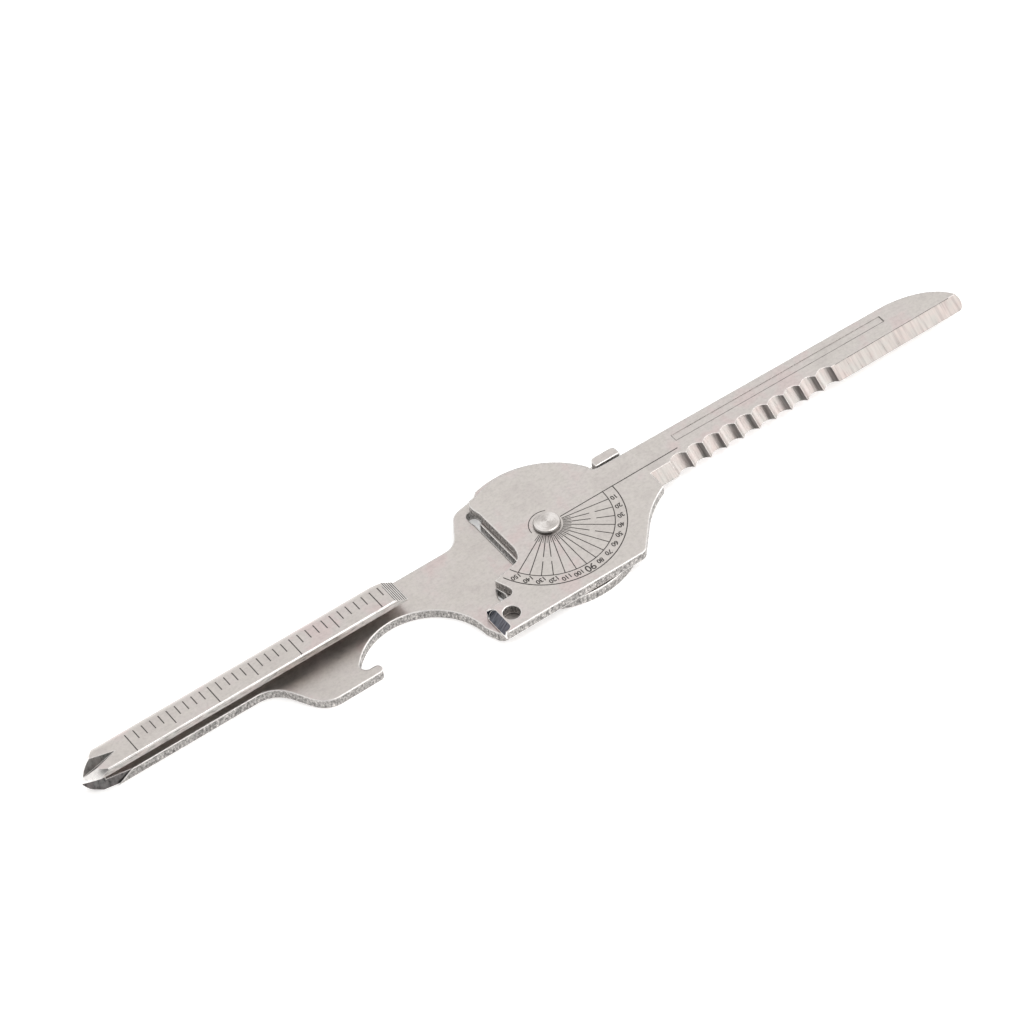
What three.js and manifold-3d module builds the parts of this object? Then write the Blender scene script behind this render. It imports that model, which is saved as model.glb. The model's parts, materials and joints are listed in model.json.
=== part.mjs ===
// Folding key-ring multi tool, open: an arm with a folded ruler sheath and a
// cross-point tip, and a blade plate that turns on one rivet.
// Millimetres, +Z up. The origin is on the rivet's axis, on the underside of
// the arm, where the tool rests. +X points along the open blade to its tip.
import * as THREE from 'three';
import { mergeVertices } from 'three/addons/utils/BufferGeometryUtils.js';
import Module from 'manifold-3d';

const wasm = await Module();
wasm.setup();

// Sheet and pivot
const SHEET = 1.2;              // thickness of the arm's sheet
const BLADE_BOTTOM = 1.3;       // underside of the blade plate, above the washer
const BLADE_TOP = 2.4;          // top face of the blade plate
const BLADE_THICK = BLADE_TOP - BLADE_BOTTOM;
const SHANK_R = 1.0;            // rivet shank
const SHANK_PLAY = 0.08;        // clearance round the shank in every hole
const HEAD_R = 1.47;
const HEAD_RISE = 0.45;
const TAIL_R = 1.6;
const TAIL_DEPTH = 0.5;

// Arm
const ARM_DISC_R = 9.9;
const ARM_FAR_Y = 4.55;         // long edge with the fold
const ARM_NEAR_Y = 0.75;        // long edge on the open side of the sheath
const TIP_X = -56.5;            // point of the cross tip
const FOLD_GAP = 1.3;           // slot of the sheath that takes the blade
const FOLD_OUT_R = SHEET + FOLD_GAP / 2;
const FOLD_IN_R = FOLD_GAP / 2;
const LEAF_NEAR_Y = 0.3;
const LEAF_TOP = 2 * SHEET + FOLD_GAP;
const LEAF_TOP_EDGE_R = 0.16;   // rounding of the leaf's open edge, above
const LEAF_UNDER_EDGE_R = 0.5;  // and below, where the blade slides in
const RAMP_TOP_X = -18.85;      // the sheath's end is ground to a ramp
const RAMP_FOOT_X = -17.35;
const RAMP_DROP = 0.75;
// Relief that frees the leaf's end from the fold, in plan.
const FOLD_RELIEF = [[-20.1, 4.8], [-19.4, 3.85], [-18.2, 3.4], [-17.0, 3.2], [-16.0, 3.2], [-16.0, 4.8]];
const OPENER_CENTRE = [-19.9, -7.0];
const OPENER_R = 7.25;
const THROAT_R = 0.75;
const HOOK_R = 0.55;
const STOP_TAB = { x0: 8.75, x1: 11.85, y0: 3.38, y1: 4.55, corner: 0.6, bend: 0.8 };
const SLIT = { x0: -5.45, x1: -4.9, foot: -3.2, end: 6.2 };
const WINDOW = [[-8.75, -3.0], [-9.35, -4.3], [-9.3, -5.2], [-8.7, -5.2], [-8.45, -4.2]];
const SLIT_END = { x: -4.87, y0: 6.2, y1: 6.85, r: 0.68 };

// Cross tip
const TIP_AXIS_Y = 1.95;
const TIP_AXIS_Z = FOLD_OUT_R;
const FLUTE_START_X = -52.1;
const FLUTE_END_X = -58;
const FLUTE_CORE = 0.15;        // distance of a flute's valley from the axis, past the tip
const FLUTE_REACH = 6;
const NEAR_FLUTE_START_X = -50.4;
const NEAR_FLUTE_END_Y = 2.12;  // how far in its valley would be at FLUTE_END_X
const NEAR_FLUTE_LEAN = 0.15;   // its lower wall is nearly upright,
const NEAR_FLUTE_RISE = 0.85;   // its upper wall climbs towards the open side
const TIP_SOLID_X = -54.1;      // from here to the point the sheath is pressed shut
const TIP_OGIVE_R = 2.65;       // the point is rounded to an ogive,
const TIP_OGIVE_LENGTH = 4.1;
const TIP_BLUNT = 0.1;          // with its very end cut off

// Blade plate
const BLADE_DISC_R = 8.75;
const EDGE_Y = -2.6;            // cutting edge, on the plate's underside
const BEVEL_TOP_Y = -1.1;
const BEVEL_START_X = 12.6;
const SCALLOPS = 10;
const SCALLOP_PITCH = 2.15;
const SCALLOP_FIRST_X = 16.25;
const SCALLOP_R = 2.0;
const SCALLOP_TOP_Y = -0.6;     // how far the scallops reach into the top face
const GROOVE = { x0: 17.5, x1: 45.2, y: 1.4, width: 0.95, depth: 0.06, tilt: -0.0105 };
const LOBE_HOLE = { x: -9.9, y: -7.65, r: 0.95 };
const DRIVER_CREST_X = -11.0;   // where the lobe's driver bevel starts
const DRIVER_TOE_X = -11.9;
const DRIVER_TOE_THICK = 0.2;
const LOBE_NEAR_Y = -9.65;
const LOBE_CORNER = 0.35;
const DRIVER_FAR_Y = -5.9;      // the bevel's two rounded ends
const DRIVER_NEAR_Y = -9.4;
const DRIVER_CORNER = 0.6;

function steel(name, color) {
  return new THREE.MeshStandardMaterial({ name, color, roughness: 0.34, metalness: 1.0 });
}

// A closed geometry as a solid for joining and cutting.
function solid(geometry) {
  const bare = geometry.index ? geometry.toNonIndexed() : geometry.clone();
  bare.deleteAttribute('normal');
  bare.deleteAttribute('uv');
  const merged = mergeVertices(bare, 1e-5);
  return new wasm.Manifold(new wasm.Mesh({
    numProp: 3,
    vertProperties: new Float32Array(merged.attributes.position.array),
    triVerts: new Uint32Array(merged.index.array),
  }));
}

function meshOf(name, body, material) {
  const data = body.getMesh();
  const geometry = new THREE.BufferGeometry();
  geometry.setAttribute('position', new THREE.BufferAttribute(data.vertProperties, 3));
  geometry.setIndex(new THREE.BufferAttribute(data.triVerts, 1));
  geometry.computeVertexNormals();
  const mesh = new THREE.Mesh(geometry, material);
  mesh.name = name;
  return mesh;
}

// A plan outline raised from z0 to z1.
function plate(shape, z0, z1, curveSegments = 24) {
  const geometry = new THREE.ExtrudeGeometry(shape, {
    depth: z1 - z0, bevelEnabled: false, curveSegments,
  });
  geometry.translate(0, 0, z0);
  return solid(geometry);
}

// A section drawn in the YZ plane, run along X from x0 to x1.
function bar(shape, x0, x1, curveSegments = 16) {
  const geometry = new THREE.ExtrudeGeometry(shape, {
    depth: x1 - x0, bevelEnabled: false, curveSegments,
  });
  geometry.applyMatrix4(new THREE.Matrix4().set(
    0, 0, 1, x0,
    1, 0, 0, 0,
    0, 1, 0, 0,
    0, 0, 0, 1,
  ));
  return solid(geometry);
}

// A section drawn in the XZ plane, run along Y from y0 to y1.
function slab(points, y0, y1) {
  const geometry = new THREE.ExtrudeGeometry(polygon(points), {
    depth: y1 - y0, bevelEnabled: false,
  });
  geometry.applyMatrix4(new THREE.Matrix4().set(
    1, 0, 0, 0,
    0, 0, -1, y1,
    0, 1, 0, 0,
    0, 0, 0, 1,
  ));
  return solid(geometry);
}

function polygon(points) {
  return new THREE.Shape(points.map(([x, y]) => new THREE.Vector2(x, y)));
}

function disc(x, y, r) {
  const shape = new THREE.Shape();
  shape.absarc(x, y, r, 0, 2 * Math.PI, false);
  return shape;
}

function roundedBox(x0, y0, x1, y1, r) {
  const shape = new THREE.Shape();
  shape.absarc(x1 - r, y0 + r, r, rad(-90), 0, false);
  shape.absarc(x1 - r, y1 - r, r, 0, rad(90), false);
  shape.absarc(x0 + r, y1 - r, r, rad(90), rad(180), false);
  shape.absarc(x0 + r, y0 + r, r, rad(180), rad(270), false);
  shape.closePath();
  return shape;
}

function revolved(points, segments = 48) {
  const profile = points.map(([r, z]) => new THREE.Vector2(r, z));
  const geometry = new THREE.LatheGeometry(profile, segments);
  geometry.rotateX(Math.PI / 2);
  return solid(geometry);
}

// A four-cornered wedge, its faces turned outwards whatever the corners' order.
function wedge(a, b, c, d) {
  const [va, vb, vc, vd] = [a, b, c, d].map((p) => new THREE.Vector3(...p));
  const side = vb.clone().sub(va).cross(vc.clone().sub(va)).dot(vd.clone().sub(va));
  const corners = side < 0 ? [va, vb, vc, vd] : [va, vc, vb, vd];
  const faces = [0, 1, 2, 0, 3, 1, 1, 3, 2, 2, 3, 0];
  const geometry = new THREE.BufferGeometry();
  const places = faces.flatMap((k) => corners[k].toArray());
  geometry.setAttribute('position', new THREE.Float32BufferAttribute(places, 3));
  return solid(geometry);
}

function rad(degrees) {
  return degrees * Math.PI / 180;
}

// The arm in plan: shank, bottle opener, round bow and the shoulder behind it.
function armOutline() {
  const s = new THREE.Shape();
  const [ox, oy] = OPENER_CENTRE;
  s.moveTo(TIP_X - 1, ARM_NEAR_Y);
  s.lineTo(-36.2, ARM_NEAR_Y);
  s.quadraticCurveTo(-34.0, ARM_NEAR_Y, -32.9, -1.5);
  s.lineTo(-32.2, -2.8);
  s.quadraticCurveTo(-31.2, -4.8, -29.4, -4.8);
  s.lineTo(-24.5, -4.77);
  s.absarc(-24.5, -4.77 + HOOK_R, HOOK_R, rad(-90), rad(90), false);
  s.lineTo(-25.0, -3.67);
  s.absarc(-25.0, -2.92, THROAT_R, rad(270), rad(143), true);
  s.absarc(ox, oy, OPENER_R, rad(134), rad(2), true);
  s.lineTo(-12.2, -7.9);
  s.quadraticCurveTo(-11.95, -8.65, -11.2, -8.65);
  s.lineTo(-4.8, -8.65);
  s.absarc(0, 0, ARM_DISC_R, rad(-119), rad(-20), false);
  s.quadraticCurveTo(10.4, -2.0, STOP_TAB.x1 - 1, -1.6);
  s.quadraticCurveTo(STOP_TAB.x1, -1.3, STOP_TAB.x1, -0.4);
  s.lineTo(STOP_TAB.x1, STOP_TAB.y1 - STOP_TAB.corner);
  s.quadraticCurveTo(STOP_TAB.x1, STOP_TAB.y1, STOP_TAB.x1 - STOP_TAB.corner, STOP_TAB.y1);
  s.lineTo(ARM_DISC_R * Math.cos(rad(29)), STOP_TAB.y1);
  s.absarc(0, 0, ARM_DISC_R, rad(29), rad(106), false);
  s.lineTo(-3.25, 9.05);
  s.quadraticCurveTo(-3.6, 8.8, -4.4, 8.7);
  s.lineTo(-5.3, 8.55);
  s.quadraticCurveTo(-6.4, 8.35, -6.8, 7.7);
  s.lineTo(-7.7, 6.3);
  s.quadraticCurveTo(-8.6, ARM_FAR_Y, -9.9, ARM_FAR_Y);
  s.lineTo(-17.5, ARM_FAR_Y);
  s.lineTo(-17.5, ARM_FAR_Y - FOLD_OUT_R);
  s.lineTo(TIP_X - 1, ARM_FAR_Y - FOLD_OUT_R);
  s.closePath();
  return s;
}

// The sheath in section: the sheet turned back over itself round the fold.
function foldSection() {
  const s = new THREE.Shape();
  const y = ARM_FAR_Y - FOLD_OUT_R;
  const z = FOLD_OUT_R;
  const above = LEAF_TOP_EDGE_R;
  const under = LEAF_UNDER_EDGE_R;
  s.moveTo(y - 1, 0);
  s.lineTo(y, 0);
  s.absarc(y, z, FOLD_OUT_R, rad(-90), rad(90), false);
  s.lineTo(LEAF_NEAR_Y + above, LEAF_TOP);
  s.absarc(LEAF_NEAR_Y + above, LEAF_TOP - above, above, rad(90), rad(180), false);
  s.absarc(LEAF_NEAR_Y + under, LEAF_TOP - SHEET + under, under, rad(180), rad(270), false);
  s.lineTo(y, LEAF_TOP - SHEET);
  s.absarc(y, z, FOLD_IN_R, rad(90), rad(-90), true);
  s.lineTo(y - 1, SHEET);
  s.closePath();
  return s;
}

// The tongue's end bent straight up: the stop for the blade's back.
function stopTab() {
  const { x0, x1, y0, y1, corner, bend } = STOP_TAB;
  const plan = new THREE.Shape();
  plan.moveTo(x0, y0);
  plan.lineTo(x1, y0);
  plan.lineTo(x1, y1 - corner);
  plan.quadraticCurveTo(x1, y1, x1 - corner, y1);
  plan.lineTo(x0 + corner, y1);
  plan.quadraticCurveTo(x0, y1, x0, y1 - corner);
  plan.closePath();
  const section = new THREE.Shape();
  section.moveTo(y0, 0);
  section.lineTo(y1 - bend, 0);
  section.absarc(y1 - bend, bend, bend, rad(-90), 0, false);
  section.lineTo(y1, BLADE_TOP);
  section.lineTo(y0, BLADE_TOP);
  section.closePath();
  return plate(plan, 0, BLADE_TOP).intersect(bar(section, x0 - 1, x1 + 1));
}

// The slit that frees the spring tongue under the blade plate, with the wider
// round-ended slot at its end, and the window under the lobe's notch.
function armWindows() {
  const slit = polygon([
    [SLIT.x0, SLIT.foot],
    [SLIT.x1, SLIT.foot],
    [SLIT.x1, SLIT.end],
    [SLIT.x0, SLIT.end],
  ]);
  const end = new THREE.Shape();
  end.absarc(SLIT_END.x, SLIT_END.y1, SLIT_END.r, 0, Math.PI, false);
  end.absarc(SLIT_END.x, SLIT_END.y0, SLIT_END.r, Math.PI, 2 * Math.PI, false);
  end.closePath();
  return [slit, end, polygon(WINDOW)]
    .map((shape) => plate(shape, -1, SHEET + 1))
    .reduce((cuts, cut) => cuts.add(cut));
}

// Flutes whose valleys run down to the point: above, below and on the fold,
// and a steeper one on the sheath's open side.
function fluteCutters() {
  const z = TIP_AXIS_Z;
  const y = TIP_AXIS_Y;
  const spread = FLUTE_REACH - FLUTE_CORE;
  const cutters = [1, -1].map((sign) => wedge(
    [FLUTE_START_X, y, z + sign * FOLD_OUT_R],
    [FLUTE_END_X, y, z + sign * FLUTE_CORE],
    [FLUTE_END_X, y - spread, z + sign * FLUTE_REACH],
    [FLUTE_END_X, y + spread, z + sign * FLUTE_REACH],
  ));
  cutters.push(wedge(
    [FLUTE_START_X, ARM_FAR_Y, z],
    [FLUTE_END_X, y + FLUTE_CORE, z],
    [FLUTE_END_X, y + FLUTE_REACH, z - spread],
    [FLUTE_END_X, y + FLUTE_REACH, z + spread],
  ));
  cutters.push(wedge(
    [NEAR_FLUTE_START_X, ARM_NEAR_Y, z],
    [FLUTE_END_X, NEAR_FLUTE_END_Y, z],
    [FLUTE_END_X, NEAR_FLUTE_END_Y - NEAR_FLUTE_LEAN * FLUTE_REACH, z - FLUTE_REACH],
    [FLUTE_END_X, NEAR_FLUTE_END_Y - FLUTE_REACH, z + NEAR_FLUTE_RISE * FLUTE_REACH],
  ));
  return cutters;
}

// Everything the rounded point leaves standing: the ogive and all behind it.
function tipOgive() {
  const wide = 40;
  const steps = 12;
  const arcR = (TIP_OGIVE_R ** 2 + TIP_OGIVE_LENGTH ** 2) / (2 * TIP_OGIVE_R);
  const profile = [[0, 0]];
  for (let k = 0; k <= steps; k += 1) {
    const left = (TIP_OGIVE_LENGTH - TIP_BLUNT) * (1 - k / steps);
    const r = Math.sqrt(arcR ** 2 - left ** 2) + TIP_OGIVE_R - arcR;
    profile.push([r, TIP_OGIVE_LENGTH - TIP_BLUNT - left]);
  }
  profile.push([wide, TIP_OGIVE_LENGTH], [wide, 3 * wide], [0, 3 * wide]);
  const geometry = new THREE.LatheGeometry(profile.map(([r, h]) => new THREE.Vector2(r, h)), 64);
  geometry.rotateZ(-Math.PI / 2);
  geometry.translate(TIP_X, TIP_AXIS_Y, TIP_AXIS_Z);
  return solid(geometry);
}

// Steel that fills the sheath's slot where its end is pressed shut.
function tipFilling() {
  const section = polygon([
    [ARM_NEAR_Y, SHEET / 2],
    [ARM_FAR_Y - FOLD_OUT_R + FOLD_IN_R, SHEET / 2],
    [ARM_FAR_Y - FOLD_OUT_R + FOLD_IN_R, LEAF_TOP - SHEET / 2],
    [ARM_NEAR_Y, LEAF_TOP - SHEET / 2],
  ]);
  return bar(section, TIP_X - 1, TIP_SOLID_X);
}

// The leaf's end: a ground ramp above, the relief in the fold beside it.
function leafEndCutters() {
  const end = RAMP_FOOT_X + 3;
  const ramp = slab([
    [RAMP_TOP_X, LEAF_TOP],
    [RAMP_FOOT_X, LEAF_TOP - RAMP_DROP],
    [RAMP_FOOT_X, SHEET],
    [end, SHEET],
    [end, LEAF_TOP + 1],
    [RAMP_TOP_X, LEAF_TOP + 1],
  ], -1, ARM_FAR_Y + 1);
  return [ramp, plate(polygon(FOLD_RELIEF), SHEET, LEAF_TOP + 1)];
}

function armPlate() {
  let body = plate(armOutline(), 0, SHEET, 32);
  body = body.add(bar(foldSection(), TIP_X - 1, RAMP_FOOT_X + 1, 20));
  body = body.add(tipFilling());
  body = body.add(stopTab());
  for (const cutter of leafEndCutters()) {
    body = body.subtract(cutter);
  }
  body = body.subtract(armWindows());
  body = body.subtract(revolved([
    [0, -1],
    [TAIL_R + SHANK_PLAY, -1],
    [TAIL_R + SHANK_PLAY, 0],
    [SHANK_R + SHANK_PLAY, TAIL_DEPTH],
    [SHANK_R + SHANK_PLAY, SHEET + 1],
    [0, SHEET + 1],
  ]));
  body = body.intersect(tipOgive());
  for (const cutter of fluteCutters()) {
    body = body.subtract(cutter);
  }
  return body;
}

// The blade plate in plan: lobe with its driver toe, bow and blade.
function bladeOutline() {
  const s = new THREE.Shape();
  s.moveTo(DRIVER_TOE_X, LOBE_NEAR_Y + LOBE_CORNER);
  s.absarc(
    DRIVER_TOE_X + LOBE_CORNER, LOBE_NEAR_Y + LOBE_CORNER, LOBE_CORNER, rad(180), rad(270), false,
  );
  s.lineTo(5.3, LOBE_NEAR_Y);
  s.quadraticCurveTo(5.8, -9.62, 6.1, -9.25);
  s.lineTo(8.4, -6.6);
  s.quadraticCurveTo(10.6, -3.95, 15.0, EDGE_Y);
  s.lineTo(53.05, EDGE_Y);
  s.quadraticCurveTo(53.85, -2.35, 53.75, -1.55);
  s.bezierCurveTo(53.2, 0.4, 50.6, 2.2, 46.5, 2.5);
  s.lineTo(9.6, 3.05);
  s.quadraticCurveTo(8.5, 3.08, 8.17, 3.3);
  s.absarc(0, 0, BLADE_DISC_R, rad(23), rad(113), false);
  s.lineTo(-4.45, 7.95);
  s.lineTo(-4.78, 7.55);
  s.quadraticCurveTo(-4.95, 6.8, -4.62, 5.8);
  s.lineTo(-4.55, -0.3);
  s.quadraticCurveTo(-4.7, -2.1, -5.9, -2.35);
  s.lineTo(-8.75, -2.95);
  s.lineTo(-8.1, -4.7);
  s.quadraticCurveTo(-8.0, -5.5, -8.7, -5.65);
  s.lineTo(DRIVER_TOE_X + 0.5, -5.65);
  s.quadraticCurveTo(DRIVER_TOE_X, -5.65, DRIVER_TOE_X, -6.15);
  s.closePath();
  return s;
}

// One scallop of the serrated edge: a round cut that slopes as the bevel does,
// and leaves a sharp ridge of the bevel between it and the next.
function scallopCutter(x) {
  const run = EDGE_Y - BEVEL_TOP_Y;
  const slope = new THREE.Vector3(0, run, -BLADE_THICK).normalize();
  const outward = new THREE.Vector3(0, slope.z, -slope.y);
  const geometry = new THREE.CylinderGeometry(SCALLOP_R, SCALLOP_R, 12, 40);
  geometry.rotateX(Math.atan2(slope.z, slope.y));
  const foot = new THREE.Vector3(x, SCALLOP_TOP_Y, BLADE_TOP);
  const centre = foot.addScaledVector(outward, SCALLOP_R);
  geometry.translate(centre.x, centre.y, centre.z);
  return solid(geometry);
}

function cuttingBevel() {
  const section = polygon([
    [BEVEL_TOP_Y, BLADE_TOP],
    [EDGE_Y, BLADE_BOTTOM],
    [EDGE_Y - 4, BLADE_BOTTOM],
    [EDGE_Y - 4, BLADE_TOP + 1],
    [BEVEL_TOP_Y, BLADE_TOP + 1],
  ]);
  return bar(section, BEVEL_START_X, 60);
}

// The lobe's driver bevel: a round-ended ground face from crest to toe.
function driverBevel() {
  const fall = BLADE_THICK - DRIVER_TOE_THICK;
  const run = DRIVER_CREST_X - DRIVER_TOE_X;
  const length = Math.hypot(fall, run);
  const face = roundedBox(-length, DRIVER_NEAR_Y, 0, DRIVER_FAR_Y, DRIVER_CORNER);
  const geometry = new THREE.ExtrudeGeometry(face, { depth: 3, bevelEnabled: false, curveSegments: 10 });
  geometry.rotateY(-Math.atan2(fall, run));
  geometry.translate(DRIVER_CREST_X, 0, BLADE_TOP);
  return solid(geometry);
}

function groove() {
  const { x0, x1, y, width, depth, tilt } = GROOVE;
  const s = polygon([
    [0, -width / 2],
    [x1 - x0, -width / 2],
    [x1 - x0, width / 2],
    [0, width / 2],
  ]);
  const geometry = new THREE.ExtrudeGeometry(s, { depth: 1, bevelEnabled: false });
  geometry.rotateZ(tilt);
  geometry.translate(x0, y, BLADE_TOP - depth);
  return solid(geometry);
}

function bladePlate() {
  let body = plate(bladeOutline(), BLADE_BOTTOM, BLADE_TOP, 24);
  body = body.subtract(cuttingBevel());
  for (let k = 0; k < SCALLOPS; k += 1) {
    body = body.subtract(scallopCutter(SCALLOP_FIRST_X + k * SCALLOP_PITCH));
  }
  body = body.subtract(groove());
  body = body.subtract(driverBevel());
  body = body.subtract(plate(disc(LOBE_HOLE.x, LOBE_HOLE.y, LOBE_HOLE.r), 0, 4));
  body = body.subtract(plate(disc(0, 0, SHANK_R + SHANK_PLAY), 0, 4));
  return body;
}

// Shank, turned head and flush countersunk tail in one piece.
function rivet() {
  const base = BLADE_TOP + 0.02;
  return revolved([
    [0, 0],
    [TAIL_R, 0],
    [SHANK_R, TAIL_DEPTH],
    [SHANK_R, base],
    [HEAD_R, base],
    [HEAD_R, base + HEAD_RISE - 0.2],
    [HEAD_R - 0.08, base + HEAD_RISE - 0.07],
    [HEAD_R - 0.25, base + HEAD_RISE],
    [0, base + HEAD_RISE + 0.04],
  ]);
}

// The thin washer that keeps the two plates apart.
function washer() {
  const hole = SHANK_R + SHANK_PLAY;
  return revolved([
    [hole, SHEET + 0.02],
    [3.2, SHEET + 0.02],
    [3.2, BLADE_BOTTOM - 0.02],
    [hole, BLADE_BOTTOM - 0.02],
    [hole, SHEET + 0.02],
  ]);
}

const tool = new THREE.Group();
tool.add(meshOf('arm_plate', armPlate(), steel('satin_steel_arm', 0xcbc7c3)));
tool.add(meshOf('blade_plate', bladePlate(), steel('satin_steel_blade', 0xcbc7c3)));
tool.add(meshOf('pivot_rivet', rivet(), steel('turned_steel', 0xd6d3d0)));
tool.add(meshOf('pivot_washer', washer(), steel('washer_steel', 0xb8b5b1)));

export default tool;
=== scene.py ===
"""Looks of the folding key-ring multi tool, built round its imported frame.

Lengths are in millimetres, in the frame's own axes: +X along the open blade,
+Y to the folded side of the sheath, +Z up, origin on the rivet's axis. Angles
are in degrees. A noise's three scales are features per metre along each axis.
"""
import json
import math

import bmesh
import bpy
from mathutils import Matrix, Vector

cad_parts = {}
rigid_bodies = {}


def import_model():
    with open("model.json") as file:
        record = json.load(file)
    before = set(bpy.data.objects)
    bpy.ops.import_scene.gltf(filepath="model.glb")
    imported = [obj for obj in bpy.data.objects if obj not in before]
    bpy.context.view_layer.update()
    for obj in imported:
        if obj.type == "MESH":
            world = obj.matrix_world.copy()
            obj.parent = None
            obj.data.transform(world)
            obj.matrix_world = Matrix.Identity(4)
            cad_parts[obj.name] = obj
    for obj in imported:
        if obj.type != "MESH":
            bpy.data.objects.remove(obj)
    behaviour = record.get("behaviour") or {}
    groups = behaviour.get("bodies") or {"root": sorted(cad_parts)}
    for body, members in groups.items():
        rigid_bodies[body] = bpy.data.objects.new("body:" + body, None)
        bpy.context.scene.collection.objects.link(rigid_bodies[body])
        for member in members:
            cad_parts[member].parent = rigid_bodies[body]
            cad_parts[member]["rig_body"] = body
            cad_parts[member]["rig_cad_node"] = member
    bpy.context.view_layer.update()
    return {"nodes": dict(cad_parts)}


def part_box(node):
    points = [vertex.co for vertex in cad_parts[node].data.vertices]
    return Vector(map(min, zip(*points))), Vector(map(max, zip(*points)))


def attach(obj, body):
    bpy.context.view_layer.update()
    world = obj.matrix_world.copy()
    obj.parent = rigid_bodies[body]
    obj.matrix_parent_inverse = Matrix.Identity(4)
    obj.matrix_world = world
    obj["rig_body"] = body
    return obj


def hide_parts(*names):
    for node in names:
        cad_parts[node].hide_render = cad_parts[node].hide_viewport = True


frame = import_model()

MM = 0.001

# The two plates. The sheath is the arm folded back over itself, and its upper
# layer is the leaf.
BLADE_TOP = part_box("blade_plate")[1].z / MM
LEAF_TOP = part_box("arm_plate")[1].z / MM
FOLD_FAR_Y = 4.55
FOLD_RADIUS = LEAF_TOP / 2
FOLD_FLAT_Y = FOLD_FAR_Y - FOLD_RADIUS
TIP_AXIS_Y = 1.95

# Rounding of edges, in shading only.
ROLLED_EDGE = 0.26      # the stampings' edges
RIDGE_ROUNDING = 0.09   # the ridges between ground faces
RIM_TURN = (0.99, 0.94)  # cosines of the normal's turn where a rim begins and is full

WHITE = (1, 1, 1)
BLACK = (0, 0, 0)
# Painted highlight: the bright colour that rims, ridges and small edges turn to.
RIM_COLOUR = (0.86, 0.84, 0.825)
ARM_FACE = (0.615, 0.578, 0.56)
BLADE_FACE = (0.625, 0.59, 0.572)
SHEARED = (0.33, 0.318, 0.308)
NOISE_SPAN = (0.3, 0.7)  # where nearly all of a noise's values lie
RAMP_LINE_PITCH = 0.25
TURNING_RINGS = 5200.0  # features per metre out from the axis
TURNING_STREAKS = 1.6   # and per radian round it
# The painted sheen on the rivet's head: where its bright fans start round the axis, and how many
# bright fans there are.
SHEEN_TURN = 0.6        # radians
SHEEN_FANS = 2.0

# Etched marks are thin solids that stand a little clear of the steel.
ETCH_PROUD = 0.006
ETCH_SUNK = 0.01
ETCH_WIDTH = 0.12       # the ruler's marks and the dial's outer arc
FINE_WIDTH = 0.108      # the dial's inner arc and zero line
RAY_WIDTH = 0.102
HALF_RAY_WIDTH = 0.072
HUB_RING_WIDTH = 0.096

RULER_ZERO_X = -50.35
RULER_MARKS = 32
RULER_START_ANGLE = 78  # how far up the fold's outside every mark starts
RULER_FOLD_STEPS = 6
RULER_ENDS = {1: 1.78, 5: 1.05, 10: 0.48}  # each kind of mark's end in y

DIAL_INNER = 7.17
DIAL_OUTER = 8.45
DIAL_HUB = 1.7
DIAL_SWEEP = 158
DIAL_STEPS = 72
DIAL_ZERO_LINE = 17.0
DIAL_DEGREES = range(10, 160, 10)
HALF_DEGREES = range(15, 160, 10)
HALF_RAY_END = 2.6
WORN_RAYS = (20, 30, 50, 120, 130)
WORN_GAP = (4.6, 5.2)
HUB_RING_RADIUS = 1.95
HUB_RING_START = -60
HUB_RING_SWEEP = -120
HUB_RING_STEPS = 30

NUMBER_RADIUS = 7.78
NUMBER_HEIGHT = 0.58
NUMBER_90_HEIGHT = 0.92
FONT_SIZE = 1.38        # a font's size against its digits' height
NUMBER_SPACING = 0.95
NUMBER_BOLDNESS = 0.022

# Width of the painted shadow lines along the bevel's crest and the groove.
SHADOW_LINE_WIDTH = 0.07
BEVEL_CREST_Y = -1.1
BEVEL_CREST_FROM = 37.2
BEVEL_CREST_TO = 52.6
GROOVE_FROM = 17.5
GROOVE_TO = 45.2
GROOVE_Y = 1.4
GROOVE_WIDTH = 0.95
GROOVE_TILT = -0.0105
GROOVE_MARGIN = 0.5
GROOVE_AREA_Y = (0.55, 2.15)

# Where the faces with a finish of their own lie.
BEVEL_FROM_X = 12.4
DRIVER_FROM_X = -10.9
DRIVER_FAR_WALL_X = -11.1
DRIVER_FAR_WALL_Y = (-6.7, -5.7)
DRIVER_DEPTH = 0.95
TOE_FROM_X = -11.0
TOE_Y = (-9.5, -5.8)
TOE_RISE = 0.85
FOLD_FROM_X = -20
TAB_X = (8.7, 11.9)
TAB_BACK_Y = 3.7
RAMP_X = (-20, -16)
LEAF_X = (-52, -17)
LEAF_EDGE_Y = 0.9
LEAF_EDGE_Z = 2.55
LEAF_EDGE_RISE = 0.25
FLUTES_FROM_X = -51.5
CONE_TRUENESS = 0.88

# Least share of a face's normal along an axis for the face to look that way.
HARDLY = 0.05
SLIGHTLY = 0.1
PARTLY = 0.2
CLEARLY = 0.3
MOSTLY = 0.75
FULLY = 0.9

SAME_VERTEX = 1e-7      # metres
SAME_PLANE = 0.5
STAMPING_SMOOTH = 20
TURNED_SMOOTH = 30

FLOOR_HALF = 1200
FLOOR_DROP = 0.02
FLOOR_GLOW = 0.4
TENT_COLOUR = (1.0, 0.985, 0.97)
TENT_STRENGTH = 1.0
GAP_STRENGTH = 0.12
GAP_TOWARD = (-0.333, -0.588, 0.737)
GAP_EDGE = (0.80, 0.96)  # cosines from GAP_TOWARD where the gap begins and is full
SOFTBOXES = {            # place, size, power and colour
    "softbox_top": ((220, -200, 620), (500, 420), 1.3, (1.0, 0.99, 0.98)),
    "softbox_right": ((620, -300, 300), (350, 400), 0.9, WHITE),
}

SENSOR_WIDTH = 36
LENS = 167.87
CAMERA_PLACE = (-168.46, -290.71, 371.52)
CAMERA_HEADING = -29.503
CAMERA_TILT = 42.509
CAMERA_ROLL = -7.624
CAMERA_CLIP = (0.01, 10)  # metres


# ---------------------------------------------------------------- materials

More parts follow.
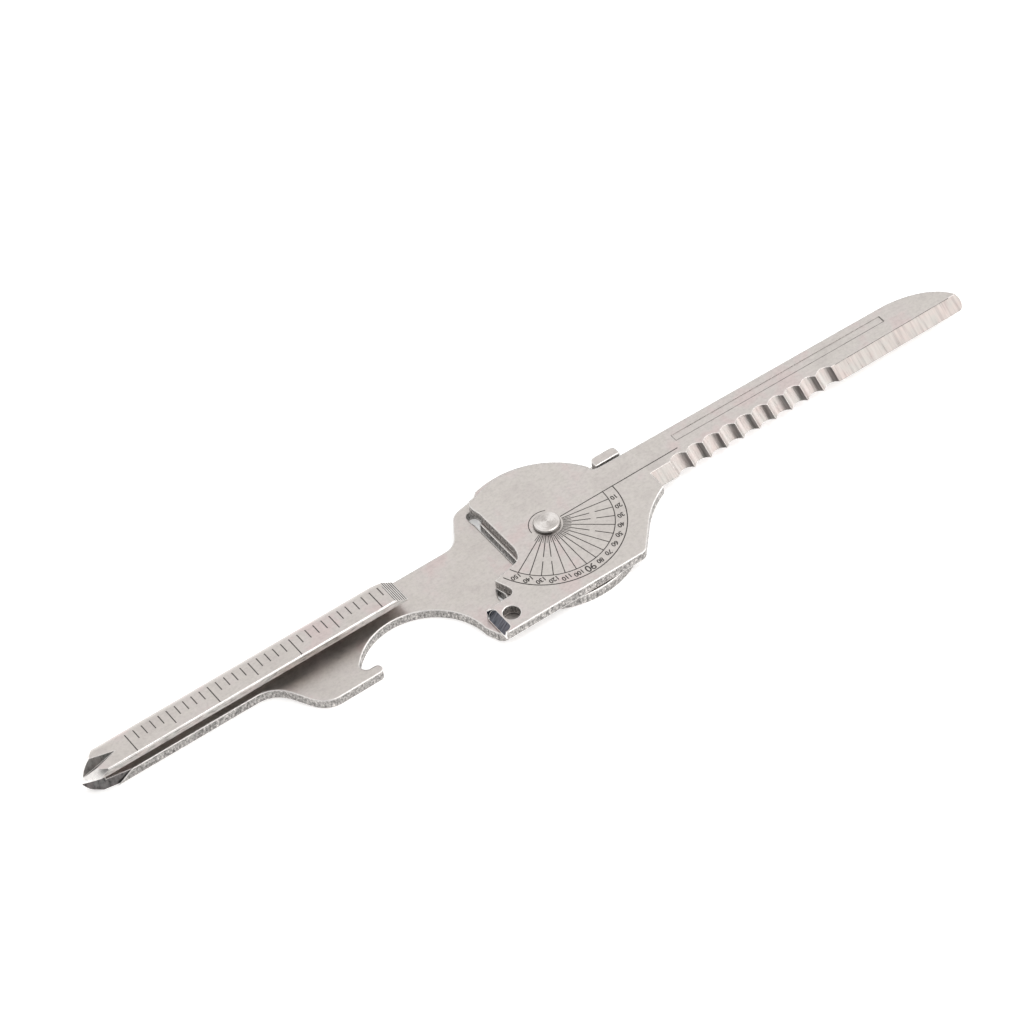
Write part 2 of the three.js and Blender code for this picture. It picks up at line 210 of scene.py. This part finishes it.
class Nodes:
    """Short calls for building one material's node tree.

    A Mix node's sockets go by number, since each data type repeats their names:
    4 and 5 are the vectors it mixes, 6 and 7 the colours.
    """

    def __init__(self, name, metallic=1.0):
        self.material = bpy.data.materials.new(name)
        self.material.use_nodes = True
        self.tree = self.material.node_tree
        self.shader = self.tree.nodes["Principled BSDF"]
        self.shader.inputs["Metallic"].default_value = metallic
        self.place = self.add("ShaderNodeTexCoord").outputs["Object"]

    def add(self, kind, **settings):
        node = self.tree.nodes.new(kind)
        for key, value in settings.items():
            setattr(node, key, value)
        return node

    def feed(self, source, socket):
        """Links a source to a socket, or sets a plain number or colour on it."""
        if isinstance(source, (int, float)):
            socket.default_value = source
        elif isinstance(source, tuple):
            socket.default_value = (*source, 1.0)
        else:
            self.tree.links.new(source, socket)

    def finish(self, colour, roughness, normal=None):
        """Feeds the shader and hands the material over."""
        self.feed(colour, self.shader.inputs["Base Color"])
        self.feed(roughness, self.shader.inputs["Roughness"])
        if normal is not None:
            self.feed(normal, self.shader.inputs["Normal"])
        return self.material

    def scaled(self, scale):
        mapping = self.add("ShaderNodeMapping")
        mapping.inputs["Scale"].default_value = scale
        self.feed(self.place, mapping.inputs["Vector"])
        return mapping.outputs["Vector"]

    def noise(self, scale, detail=4.0, roughness=0.6, vector=None):
        node = self.add("ShaderNodeTexNoise")
        node.inputs["Scale"].default_value = 1.0
        node.inputs["Detail"].default_value = detail
        node.inputs["Roughness"].default_value = roughness
        self.feed(vector or self.scaled(scale), node.inputs["Vector"])
        return node.outputs["Fac"]

    def ramp(self, value, stops):
        node = self.add("ShaderNodeValToRGB")
        elements = node.color_ramp.elements
        while len(elements) < len(stops):
            elements.new(0.5)
        for element, (place, colour) in zip(elements, stops):
            element.position = place
            element.color = (*colour, 1.0)
        self.feed(value, node.inputs["Fac"])
        return node.outputs["Color"]

    def math(self, operation, a, b=None):
        node = self.add("ShaderNodeMath", operation=operation)
        self.feed(a, node.inputs[0])
        if b is not None:
            self.feed(b, node.inputs[1])
        return node.outputs[0]

    def span(self, value, low, high, to_low, to_high):
        node = self.add("ShaderNodeMapRange")
        node.inputs["From Min"].default_value = low
        node.inputs["From Max"].default_value = high
        node.inputs["To Min"].default_value = to_low
        node.inputs["To Max"].default_value = to_high
        self.feed(value, node.inputs["Value"])
        return node.outputs["Result"]

    def spread(self, noise, to_low, to_high):
        """A noise's values spread over a range of their own."""
        return self.span(noise, *NOISE_SPAN, to_low, to_high)

    def mix(self, share, a, b):
        node = self.add("ShaderNodeMix", data_type="RGBA")
        self.feed(share, node.inputs["Factor"])
        self.feed(a, node.inputs[6])
        self.feed(b, node.inputs[7])
        return node.outputs[2]

    def multiply(self, a, b):
        node = self.add("ShaderNodeMix", data_type="RGBA", blend_type="MULTIPLY")
        node.inputs["Factor"].default_value = 1.0
        self.feed(a, node.inputs[6])
        self.feed(b, node.inputs[7])
        return node.outputs[2]

    def mix_vector(self, share, a, b):
        node = self.add("ShaderNodeMix", data_type="VECTOR")
        self.feed(share, node.inputs["Factor"])
        self.feed(a, node.inputs[4])
        self.feed(b, node.inputs[5])
        return node.outputs[1]

    def bump(self, height, strength, distance, normal=None):
        node = self.add("ShaderNodeBump")
        node.inputs["Strength"].default_value = strength
        node.inputs["Distance"].default_value = distance * MM
        self.feed(height, node.inputs["Height"])
        if normal is not None:
            self.feed(normal, node.inputs["Normal"])
        return node.outputs["Normal"]

    def split(self, vector):
        node = self.add("ShaderNodeSeparateXYZ")
        self.feed(vector, node.inputs[0])
        return node.outputs

    def facing(self, axis):
        """How far the surface faces along an axis of the piece, 0 to 1."""
        normal = self.add("ShaderNodeTexCoord").outputs["Normal"]
        return self.math("ABSOLUTE", self.split(normal)[axis])

    def true_normal(self):
        return self.add("ShaderNodeNewGeometry").outputs["Normal"]

    def rounded_edges(self, radius):
        """The normal with every edge rounded, and where it is, 0 to 1."""
        rounded = self.add("ShaderNodeBevel", samples=8)
        rounded.inputs["Radius"].default_value = radius * MM
        turn = self.add("ShaderNodeVectorMath", operation="DOT_PRODUCT")
        self.feed(rounded.outputs["Normal"], turn.inputs[0])
        self.feed(self.true_normal(), turn.inputs[1])
        return rounded.outputs["Normal"], self.span(turn.outputs["Value"], *RIM_TURN, 0, 1)

    def inside(self, low, high):
        """1 where the place lies within a plan rectangle given in mm, else 0."""
        place = self.split(self.place)
        within = 1.0
        for axis, (start, end) in enumerate(zip(low, high)):
            after = self.math("GREATER_THAN", place[axis], start * MM)
            before = self.math("LESS_THAN", place[axis], end * MM)
            within = self.math("MULTIPLY", self.math("MULTIPLY", after, before), within)
        return within


def scaled_colour(colour, *factors):
    """A colour with each channel multiplied, by one factor or by three."""
    factors = factors * 3 if len(factors) == 1 else factors
    return tuple(min(1.0, c * f) for c, f in zip(colour, factors))


def rolled_face(n, colour, grain, speck):
    """The colour of the rolled skin: a soft mottle under fine grain."""
    tint = n.ramp(n.noise((230, 230, 230), detail=3.0), [
        (0.36, scaled_colour(colour, 1.02, 0.955, 0.965)),
        (0.46, colour),
        (0.56, scaled_colour(colour, 0.99, 1.0, 0.985)),
        (0.66, scaled_colour(colour, 0.945, 0.945, 0.94)),
    ])
    texture = n.math("ADD", n.spread(grain, 0, 0.6), n.spread(speck, 0, 0.4))
    brushed = n.ramp(texture, [
        (0.25, (0.92, 0.92, 0.92)),
        (0.5, WHITE),
        (0.75, (1.05, 1.05, 1.05)),
    ])
    return n.multiply(tint, brushed)


def sheared_side(n, colour, tear):
    """The colour of a sheared side, from dark pits to bright crumbs."""
    return n.ramp(tear, [
        (0.36, scaled_colour(colour, 0.3)),
        (0.47, scaled_colour(colour, 0.95)),
        (0.56, scaled_colour(colour, 1.6)),
        (0.65, scaled_colour(colour, 2.6)),
    ])


def plate_steel(name, face, edge, sharp_area=((0, 0), (0, 0)), bent=False):
    """Satin sheet steel: mottled rolled faces, sheared sides, and rims painted bright as a
    highlight.

    Edges within the sharp area have no rim. Steep faces are sheared sides
    unless they are a bent part of the sheet.
    """
    n = Nodes(name)
    rounded, rim = n.rounded_edges(ROLLED_EDGE)
    sharp = n.inside(*sharp_area)
    rim = n.math("MULTIPLY", rim, n.math("SUBTRACT", 1.0, sharp))
    rounded = n.mix_vector(sharp, rounded, n.true_normal())
    flat = n.ramp(n.facing("Z"), [(0.55, WHITE if bent else BLACK), (0.8, WHITE)])

    grain = n.noise((1900, 3400, 3000), detail=6.0, roughness=0.7)
    speck = n.noise((3600, 3600, 3600), detail=3.0)
    tear = n.noise((4600, 4600, 2600), detail=7.0, roughness=0.75)
    smudge = n.noise((260, 420, 300), detail=4.0)

    steel = n.mix(flat, sheared_side(n, edge, tear), rolled_face(n, face, grain, speck))
    # Painted highlight: the rims' bright colour, a little uneven.
    painted_highlight = n.ramp(speck, [(0.35, scaled_colour(RIM_COLOUR, 0.86)), (0.6, RIM_COLOUR)])
    face_rough = n.math("ADD", n.spread(grain, 0.3, 0.38), n.spread(smudge, -0.03, 0.06))
    edge_rough = n.spread(tear, 0.45, 0.62)
    hairline = n.bump(grain, 0.25, 0.012, rounded)
    pits = n.bump(tear, 0.8, 0.1, rounded)
    return n.finish(
        n.mix(rim, steel, painted_highlight),
        n.mix(flat, edge_rough, face_rough),
        n.mix_vector(flat, pits, hairline),
    )


def burnished_steel():
    """Small edges and walls painted bright as a highlight, a little uneven."""
    n = Nodes("painted_highlight_rim_steel")
    uneven_tone = n.noise((1500, 1500, 1500), detail=5.0)
    colour = n.ramp(uneven_tone, [
        (0.3, scaled_colour(RIM_COLOUR, 0.7)),
        (0.44, scaled_colour(RIM_COLOUR, 0.95)),
        (0.6, scaled_colour(RIM_COLOUR, 1.05)),
    ])
    return n.finish(colour, n.spread(uneven_tone, 0.34, 0.2), n.bump(uneven_tone, 0.15, 0.02))


def ground_steel(name, colour, scale, depth, contrast):
    """Ground steel, its streaks fine along one axis and long across it, its ridges painted bright as
    a highlight.
    """
    n = Nodes(name)
    # The ridges' mask, where the colour turns to the painted highlight.
    rounded, ridge = n.rounded_edges(RIDGE_ROUNDING)
    streak = n.noise(scale, detail=6.0, roughness=0.65)
    tint = n.ramp(streak, [
        (0.34, scaled_colour(colour, 1 - 1.6 * contrast)),
        (0.5, colour),
        (0.66, scaled_colour(colour, 1 + contrast)),
    ])
    blotch = n.noise((700, 700, 700), detail=3.0)
    warm = n.ramp(blotch, [(0.35, (1.04, 0.97, 0.96)), (0.65, (0.98, 1.0, 0.99))])
    return n.finish(
        n.mix(ridge, n.multiply(tint, warm), RIM_COLOUR),
        n.spread(streak, 0.26, 0.44),
        n.bump(streak, 0.5, depth, rounded),
    )


def ramp_steel():
    """The ground ramp at the sheath's end, with even grinding lines across it."""
    n = Nodes("ramp_steel")
    phase = n.math("MULTIPLY", n.split(n.place)["X"], 2 * math.pi / (RAMP_LINE_PITCH * MM))
    lines = n.span(n.math("SINE", phase), -1, 1, 0.25, 0.75)
    rough = n.noise((3600, 900, 900), detail=5.0)
    height = n.math("ADD", lines, n.spread(rough, -0.07, 0.07))
    colour = n.ramp(height, [
        (0.3, (0.07, 0.067, 0.065)),
        (0.5, (0.36, 0.345, 0.335)),
        (0.68, (0.8, 0.775, 0.755)),
    ])
    return n.finish(colour, n.span(height, 0.2, 0.8, 0.45, 0.3), n.bump(height, 0.6, 0.04))


def polar(n):
    """The distance from the piece's own Z axis in metres, and the angle round it."""
    place = n.split(n.place)
    square_x = n.math("MULTIPLY", place["X"], place["X"])
    square_y = n.math("MULTIPLY", place["Y"], place["Y"])
    radius = n.math("SQRT", n.math("ADD", square_x, square_y))
    return radius, n.math("ARCTAN2", place["Y"], place["X"])


def turned_steel():
    """Rivet and washer: faced by fine turning, with a painted sheen swept round the head and painted
    shade on the flanks.
    """
    n = Nodes("turned_steel")
    radius, angle = polar(n)
    vector = n.add("ShaderNodeCombineXYZ")
    n.feed(n.math("MULTIPLY", radius, TURNING_RINGS), vector.inputs["X"])
    n.feed(n.math("MULTIPLY", angle, TURNING_STREAKS), vector.inputs["Y"])
    rings = n.noise(None, detail=5.0, vector=vector.outputs[0])
    # Painted sheen: bright and dark fans swept round the head, on top of the turning rings.
    sweep = n.math("SINE", n.math("MULTIPLY", n.math("ADD", angle, SHEEN_TURN), SHEEN_FANS))
    sheen = n.math("ADD", n.spread(rings, 0.35, 0.65), n.span(sweep, -1, 1, -0.2, 0.2))
    faced = n.ramp(sheen, [
        (0.2, (0.46, 0.435, 0.42)),
        (0.5, (0.64, 0.61, 0.59)),
        (0.75, (0.84, 0.815, 0.8)),
    ])
    # Painted shade: the flanks much darker than the head.
    flank = n.ramp(rings, [(0.35, (0.09, 0.085, 0.08)), (0.65, (0.2, 0.19, 0.185))])
    flat = n.ramp(n.facing("Z"), [(0.45, BLACK), (0.7, WHITE)])
    return n.finish(n.mix(flat, flank, faced), n.spread(rings, 0.25, 0.36), n.bump(rings, 0.3, 0.02))


def etched_mark():
    """The dark, slightly uneven colour of an etched line."""
    n = Nodes("etched_mark", metallic=0.0)
    uneven_tone = n.noise((2600, 2600, 2600), detail=5.0)
    colour = n.ramp(uneven_tone, [
        (0.35, (0.03, 0.027, 0.025)),
        (0.6, (0.065, 0.058, 0.054)),
        (0.75, (0.13, 0.12, 0.115)),
    ])
    return n.finish(colour, n.spread(uneven_tone, 0.6, 0.8), n.bump(uneven_tone, 0.3, 0.02))


def burnt_line():
    """Painted shadow: the grey, uneven colour of the thin lines along a ground face's crest and the
    groove's lip and ends.
    """
    n = Nodes("burnt_line")
    uneven_tone = n.noise((1400, 5000, 2600), detail=4.0)
    colour = n.ramp(uneven_tone, [
        (0.35, (0.12, 0.11, 0.105)),
        (0.55, (0.27, 0.255, 0.245)),
        (0.7, (0.45, 0.43, 0.415)),
    ])
    return n.finish(colour, n.spread(uneven_tone, 0.45, 0.65))


def backdrop_white():
    """White acrylic of a light table, a little lit from below."""
    n = Nodes("backdrop_white", metallic=0.0)
    drift = n.noise((6, 6, 6), detail=2.0)
    n.shader.inputs["Emission Color"].default_value = (*WHITE, 1)
    n.shader.inputs["Emission Strength"].default_value = FLOOR_GLOW
    return n.finish(n.ramp(drift, [(0.3, (0.93, 0.93, 0.93)), (0.7, (0.96, 0.96, 0.96))]), 0.9)


# ------------------------------------------------------------------ meshes

def new_object(name, bm, material):
    bmesh.ops.recalc_face_normals(bm, faces=bm.faces)
    mesh = bpy.data.meshes.new(name)
    bm.to_mesh(mesh)
    bm.free()
    mesh.materials.append(material)
    piece = bpy.data.objects.new(name, mesh)
    bpy.context.scene.collection.objects.link(piece)
    return piece


def loft(bm, rings):
    """A closed solid through rings of points in mm, all with as many points."""
    rows = [[bm.verts.new(point * MM) for point in ring] for ring in rings]
    bm.faces.new(list(reversed(rows[0])))
    bm.faces.new(rows[-1])
    for one, two in zip(rows, rows[1:]):
        for k in range(len(one)):
            j = (k + 1) % len(one)
            bm.faces.new((one[k], one[j], two[j], two[k]))


def etched_patch(bm, outline):
    """A thin etched solid over a plan outline on the blade plate's top face."""
    heights = (BLADE_TOP - ETCH_SUNK, BLADE_TOP + ETCH_PROUD)
    loft(bm, [[Vector((x, y, z)) for x, y in outline] for z in heights])


def strip(bm, start, end, width):
    """A straight line on the blade plate's top face."""
    a, b = Vector(start), Vector(end)
    side = (b - a).orthogonal().normalized() * width / 2
    etched_patch(bm, [a - side, b - side, b + side, a + side])


def outward(degrees):
    """The direction of a dial angle, which runs clockwise from the open blade."""
    t = math.radians(-degrees)
    return Vector((math.cos(t), math.sin(t)))


def ring_strip(bm, radius, start, sweep, width, steps):
    """A curved line round the rivet, from a first dial angle through a sweep."""
    inner, outer = radius - width / 2, radius + width / 2
    for k in range(steps):
        a = outward(start + sweep * k / steps)
        b = outward(start + sweep * (k + 1) / steps)
        etched_patch(bm, [a * inner, b * inner, b * outer, a * outer])


def own_copy(node, name, materials):
    """A copy of a CAD stamping that can carry several materials."""
    piece = frame["nodes"][node].copy()
    piece.data = piece.data.copy()
    piece.name = name
    piece.data.name = name
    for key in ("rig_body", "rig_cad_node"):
        if key in piece:
            del piece[key]
    piece.parent = None
    piece.matrix_world = Matrix.Identity(4)
    bpy.context.scene.collection.objects.link(piece)
    join_flat_faces(piece.data)
    piece.data.materials.clear()
    for material in materials:
        piece.data.materials.append(material)
    return piece


def join_flat_faces(mesh):
    """Joins the facets of flat faces, and drops the normals that they carried."""
    bm = bmesh.new()
    bm.from_mesh(mesh)
    bmesh.ops.remove_doubles(bm, verts=bm.verts, dist=SAME_VERTEX)
    bmesh.ops.dissolve_limit(
        bm, angle_limit=math.radians(SAME_PLANE), verts=bm.verts, edges=bm.edges,
    )
    for face in bm.faces:
        face.material_index = 0
        face.smooth = True
    bm.to_mesh(mesh)
    bm.free()
    carried = mesh.attributes.get("custom_normal")
    if carried:
        mesh.attributes.remove(carried)


def paint_faces(piece, index, chosen):
    """Gives material number index to the still plain faces that are chosen."""
    for face in piece.data.polygons:
        if face.material_index == 0 and chosen(face):
            face.material_index = index


def keep_hard_edges(piece, degrees):
    bpy.context.view_layer.objects.active = piece
    piece.select_set(True)
    bpy.ops.object.shade_smooth_by_angle(angle=math.radians(degrees))
    piece.select_set(False)


# ------------------------------------------------------------------- marks

def flat_point(y, lift):
    """A point over the leaf's flat top."""
    return Vector((0, y, LEAF_TOP + lift))


def fold_point(degrees, lift):
    """A point over the fold's outside, so far up from its far side."""
    t = math.radians(degrees)
    r = FOLD_RADIUS + lift
    return Vector((0, FOLD_FLAT_Y + r * math.cos(t), FOLD_RADIUS + r * math.sin(t)))


def ruler_mark(bm, x, end_y):
    """One ruler mark: from the fold's outside over onto the flat, up to end_y."""
    climb = (90 - RULER_START_ANGLE) / RULER_FOLD_STEPS
    angles = [RULER_START_ANGLE + climb * k for k in range(RULER_FOLD_STEPS + 1)]
    rows = [(fold_point(a, -ETCH_SUNK), fold_point(a, ETCH_PROUD)) for a in angles]
    rows.append((flat_point(end_y, -ETCH_SUNK), flat_point(end_y, ETCH_PROUD)))
    left = Vector((x - ETCH_WIDTH / 2, 0, 0))
    right = Vector((x + ETCH_WIDTH / 2, 0, 0))
    loft(bm, [[low + left, low + right, high + right, high + left] for low, high in rows])


def ruler(material):
    bm = bmesh.new()
    for k in range(RULER_MARKS):
        step = 10 if k % 10 == 0 else 5 if k % 5 == 0 else 1
        ruler_mark(bm, RULER_ZERO_X + k, RULER_ENDS[step])
    return new_object("ruler_marks", bm, material)


def ray(bm, degrees, inner, outer, width):
    along = outward(degrees)
    strip(bm, along * inner, along * outer, width)


def dial_lines(material):
    bm = bmesh.new()
    ring_strip(bm, DIAL_INNER, 0, DIAL_SWEEP, FINE_WIDTH, DIAL_STEPS)
    ring_strip(bm, DIAL_OUTER, 0, DIAL_SWEEP, ETCH_WIDTH, DIAL_STEPS)
    ring_strip(bm, HUB_RING_RADIUS, HUB_RING_START, HUB_RING_SWEEP, HUB_RING_WIDTH, HUB_RING_STEPS)
    ray(bm, 0, DIAL_HUB, DIAL_ZERO_LINE, FINE_WIDTH)
    for degrees in DIAL_DEGREES:
        gap_start, gap_end = WORN_GAP
        stretches = [(DIAL_HUB, DIAL_INNER)]
        if degrees in WORN_RAYS:
            stretches = [(DIAL_HUB, gap_start), (gap_end, DIAL_INNER)]
        for inner, outer in stretches:
            ray(bm, degrees, inner, outer, RAY_WIDTH)
    for degrees in HALF_DEGREES:
        ray(bm, degrees, DIAL_HUB, HALF_RAY_END, HALF_RAY_WIDTH)
    return new_object("protractor_lines", bm, material)


def grind_lines(material):
    """Fine dark lines of painted shadow: the cutting bevel's crest, and the groove's near lip and
    ends.
    """
    bm = bmesh.new()
    strip(bm, (BEVEL_CREST_FROM, BEVEL_CREST_Y), (BEVEL_CREST_TO, BEVEL_CREST_Y), SHADOW_LINE_WIDTH)
    across = Vector((0, GROOVE_WIDTH))
    near_y = GROOVE_Y - GROOVE_WIDTH / 2
    start = Vector((GROOVE_FROM, near_y))
    end = Vector((GROOVE_TO, near_y + (GROOVE_TO - GROOVE_FROM) * GROOVE_TILT))
    strip(bm, start, end, SHADOW_LINE_WIDTH)
    for corner in (start, end):
        strip(bm, corner, corner + across, SHADOW_LINE_WIDTH)
    return new_object("grind_lines", bm, material)


def number(text, height, degrees, material):
    """A dial number with its foot to +Y, as the marks on the tool are turned."""
    curve = bpy.data.curves.new(f"number_{text}", "FONT")
    curve.body = text
    curve.size = height * FONT_SIZE * MM
    curve.space_character = NUMBER_SPACING
    curve.align_x = "CENTER"
    curve.align_y = "CENTER"
    curve.extrude = (ETCH_SUNK + ETCH_PROUD) / 2 * MM
    curve.offset = NUMBER_BOLDNESS * MM
    curve.resolution_u = 4
    curve.materials.append(material)
    text_object = bpy.data.objects.new(f"number_{text}", curve)
    bpy.context.scene.collection.objects.link(text_object)
    bpy.context.view_layer.update()
    evaluated = text_object.evaluated_get(bpy.context.evaluated_depsgraph_get())
    mesh = bpy.data.meshes.new_from_object(evaluated)
    bpy.data.objects.remove(text_object)

    x, y = outward(degrees) * NUMBER_RADIUS
    place = Vector((x, y, BLADE_TOP + (ETCH_PROUD - ETCH_SUNK) / 2)) * MM
    mesh.transform(Matrix.Translation(place) @ Matrix.Rotation(math.pi, 4, "Z"))
    piece = bpy.data.objects.new(f"dial_number_{text}", mesh)
    bpy.context.scene.collection.objects.link(piece)
    return piece


def numbers(material):
    pieces = []
    for degrees in DIAL_DEGREES:
        height = NUMBER_90_HEIGHT if degrees == 90 else NUMBER_HEIGHT
        pieces.append(number(str(degrees), height, degrees, material))
    return pieces


# ------------------------------------------------------------------- studio

def floor(material):
    bm = bmesh.new()
    half = FLOOR_HALF
    corners = [(-half, -half), (half, -half), (half, half), (-half, half)]
    bm.faces.new([bm.verts.new(Vector((x, y, -FLOOR_DROP)) * MM) for x, y in corners])
    ground = new_object("floor", bm, material)


def softbox(name, place, size, power, colour):
    """A rectangular light that looks at the origin."""
    light = bpy.data.lights.new(name, "AREA")
    light.shape = "RECTANGLE"
    light.size = size[0] * MM
    light.size_y = size[1] * MM
    light.energy = power
    light.color = colour
    lamp = bpy.data.objects.new(name, light)
    bpy.context.scene.collection.objects.link(lamp)
    turn = (-Vector(place)).to_track_quat("-Z", "Y").to_matrix().to_4x4()
    lamp.matrix_world = Matrix.Translation(Vector(place) * MM) @ turn


def tent():
    """A bright white tent, darker round the place that the lens looks in from."""
    world = bpy.data.worlds.new("studio")
    world.use_nodes = True
    nodes = world.node_tree.nodes
    links = world.node_tree.links
    place = nodes.new("ShaderNodeTexCoord")
    toward = nodes.new("ShaderNodeVectorMath")
    toward.operation = "DOT_PRODUCT"
    toward.inputs[1].default_value = GAP_TOWARD
    gap = nodes.new("ShaderNodeMapRange")
    gap.inputs["From Min"].default_value, gap.inputs["From Max"].default_value = GAP_EDGE
    gap.inputs["To Min"].default_value = TENT_STRENGTH
    gap.inputs["To Max"].default_value = GAP_STRENGTH
    background = nodes["Background"]
    background.inputs["Color"].default_value = (*TENT_COLOUR, 1)
    links.new(place.outputs["Generated"], toward.inputs[0])
    links.new(toward.outputs["Value"], gap.inputs["Value"])
    links.new(gap.outputs["Result"], background.inputs["Strength"])
    bpy.context.scene.world = world


def studio():
    tent()
    for name, settings in SOFTBOXES.items():
        softbox(name, *settings)
    bpy.context.scene.view_settings.view_transform = "Standard"


def camera():
    """The photograph's view: a long lens from the front left, 47 degrees up."""
    data = bpy.data.cameras.new("camera")
    data.sensor_width = SENSOR_WIDTH
    data.lens = LENS
    data.clip_start, data.clip_end = CAMERA_CLIP
    eye = bpy.data.objects.new("camera", data)
    heading = Matrix.Rotation(math.radians(CAMERA_HEADING), 4, "Z")
    tilt = Matrix.Rotation(math.radians(CAMERA_TILT), 4, "X")
    roll = Matrix.Rotation(math.radians(CAMERA_ROLL), 4, "Z")
    eye.matrix_world = Matrix.Translation(Vector(CAMERA_PLACE) * MM) @ heading @ tilt @ roll
    bpy.context.scene.collection.objects.link(eye)
    bpy.context.scene.camera = eye


# ------------------------------------------------- which faces have which finish

def between(value, limits):
    low, high = limits
    return low < value < high


def looks(face, least, **axes):
    """Whether a face's normal has at least that share along each axis; -1 reverses one."""
    return all(sign * getattr(face.normal, axis) > least for axis, sign in axes.items())


def is_cutting_bevel(face):
    centre = face.center / MM
    return centre.x > BEVEL_FROM_X and centre.y < 0 and looks(face, PARTLY, y=-1, z=1)


def is_driver_bevel(face):
    """The driver's slope, and the corner beyond it, painted to stand for its round end."""
    centre = face.center / MM
    beyond = centre.x < DRIVER_FAR_WALL_X and between(centre.y, DRIVER_FAR_WALL_Y)
    upper = centre.z > BLADE_TOP - DRIVER_DEPTH
    slope = looks(face, CLEARLY, x=-1, z=1)
    return centre.x < DRIVER_FROM_X and (slope or (beyond and upper))


def is_toe(face):
    """The toe's thin edge and the small walls round the driver bevel, which get the painted
    highlight.
    """
    centre = face.center / MM
    steep = abs(face.normal.z) < TOE_RISE
    return centre.x < TOE_FROM_X and between(centre.y, TOE_Y) and steep


def is_bent(face):
    """The outside of the fold, and the back of the stop tab."""
    centre = face.center / MM
    on_fold = centre.x < FOLD_FROM_X and centre.y > FOLD_FLAT_Y
    on_tab = between(centre.x, TAB_X) and centre.y > TAB_BACK_Y
    sideways = abs(face.normal.x) < HARDLY
    return (on_fold or on_tab) and looks(face, SLIGHTLY, y=1) and sideways


def is_ramp(face):
    return between(face.center.x / MM, RAMP_X) and looks(face, CLEARLY, x=1, z=1)


def on_leaf_edge(face):
    centre = face.center / MM
    near = between(centre.x, LEAF_X) and centre.y < LEAF_EDGE_Y and centre.z > LEAF_EDGE_Z
    return near and looks(face, PARTLY, y=-1)


def is_leaf_edge(face):
    """The leaf's open edge, painted bright as a highlight."""
    return on_leaf_edge(face) and face.normal.z > LEAF_EDGE_RISE


def is_leaf_under(face):
    """The strip below that edge."""
    return on_leaf_edge(face) and not is_leaf_edge(face)


def is_tip(face):
    return face.center.x / MM < FLUTES_FROM_X and looks(face, HARDLY, x=-1)


def is_cone(face):
    """The tip's point, whose faces look straight out from its axis or along it."""
    if not is_tip(face):
        return False
    centre = face.center / MM
    out = Vector((centre.y - TIP_AXIS_Y, centre.z - LEAF_TOP / 2))
    across = Vector((face.normal.y, face.normal.z))
    if min(out.length, across.length) < HARDLY:
        return looks(face, FULLY, x=-1)
    return out.normalized().dot(across.normalized()) > CONE_TRUENESS


def is_flute(face):
    return is_tip(face) and not is_cone(face)


def is_side_flute(face):
    return is_flute(face) and looks(face, MOSTLY, y=-1)


# Faces that get the painted highlight: the leaf's open edge and the tip's point.
def is_burnished(face):
    return is_leaf_edge(face) or is_cone(face)


# ----------------------------------------------------------------- assembly

def stamping(node, name, finishes, body):
    """The copy that stands for a CAD plate; finishes are (material, test).

    A face has the first finish whose test chooses it, or else the one with no test.
    """
    piece = own_copy(node, name, [material for material, _ in finishes])
    for index, (_, chosen) in enumerate(finishes):
        if chosen:
            paint_faces(piece, index, chosen)
    keep_hard_edges(piece, STAMPING_SMOOTH)
    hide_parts(node)
    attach(piece, body)


def blade_finishes(painted_highlight):
    groove = list(zip((GROOVE_FROM - GROOVE_MARGIN, GROOVE_TO + GROOVE_MARGIN), GROOVE_AREA_Y))
    steel = plate_steel("satin_steel_blade", BLADE_FACE, SHEARED, sharp_area=groove)
    bevel = ground_steel("ground_bevel_steel", (0.41, 0.385, 0.37), (3600, 260, 260), 0.03, 0.16)
    # Painted reflection: the driver's slope, the same ground steel as the cutting bevel, painted
    # dark blue-grey for the dark surroundings it mirrors.
    driver = ground_steel("ground_driver_steel", (0.13, 0.14, 0.165), (300, 4200, 300), 0.04, 0.5)
    return [
        (steel, None),
        (bevel, is_cutting_bevel),
        (driver, is_driver_bevel),
        (painted_highlight, is_toe),
    ]


def arm_finishes(painted_highlight):
    # Painted light and shade: one ground finish in two copies, darker on the side flute and lighter
    # on the upper flute, for how each reflects the studio.
    side_flute = ground_steel("side_flute_steel", (0.13, 0.125, 0.125), (2200, 900, 900), 0.03, 0.4)
    flute = ground_steel("flute_steel", (0.36, 0.35, 0.34), (2200, 900, 900), 0.03, 0.3)
    leaf_under = ground_steel("leaf_under_steel", (0.4, 0.385, 0.37), (900, 3600, 3600), 0.03, 0.3)
    return [
        (plate_steel("satin_steel_arm", ARM_FACE, SHEARED), None),
        (plate_steel("bent_steel_arm", ARM_FACE, SHEARED, bent=True), is_bent),
        (ramp_steel(), is_ramp),
        (side_flute, is_side_flute),
        (flute, is_flute),
        (leaf_under, is_leaf_under),
        (painted_highlight, is_burnished),
    ]


def turned_parts():
    """The rivet and the washer stay as the frame has them, in turned steel."""
    turned = turned_steel()
    for node in ("pivot_rivet", "pivot_washer"):
        piece = frame["nodes"][node]
        piece.data.materials.clear()
        piece.data.materials.append(turned)
        keep_hard_edges(piece, TURNED_SMOOTH)


def marks():
    mark = etched_mark()
    scale = ruler(mark)
    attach(scale, "arm")
    for piece in [dial_lines(mark), grind_lines(burnt_line()), *numbers(mark)]:
        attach(piece, "blade")


def build():
    painted_highlight = burnished_steel()
    stamping("blade_plate", "blade", blade_finishes(painted_highlight), "blade")
    stamping("arm_plate", "arm", arm_finishes(painted_highlight), "arm")
    turned_parts()
    marks()


camera()
studio()
floor(backdrop_white())
build()

bpy.context.view_layer.update()
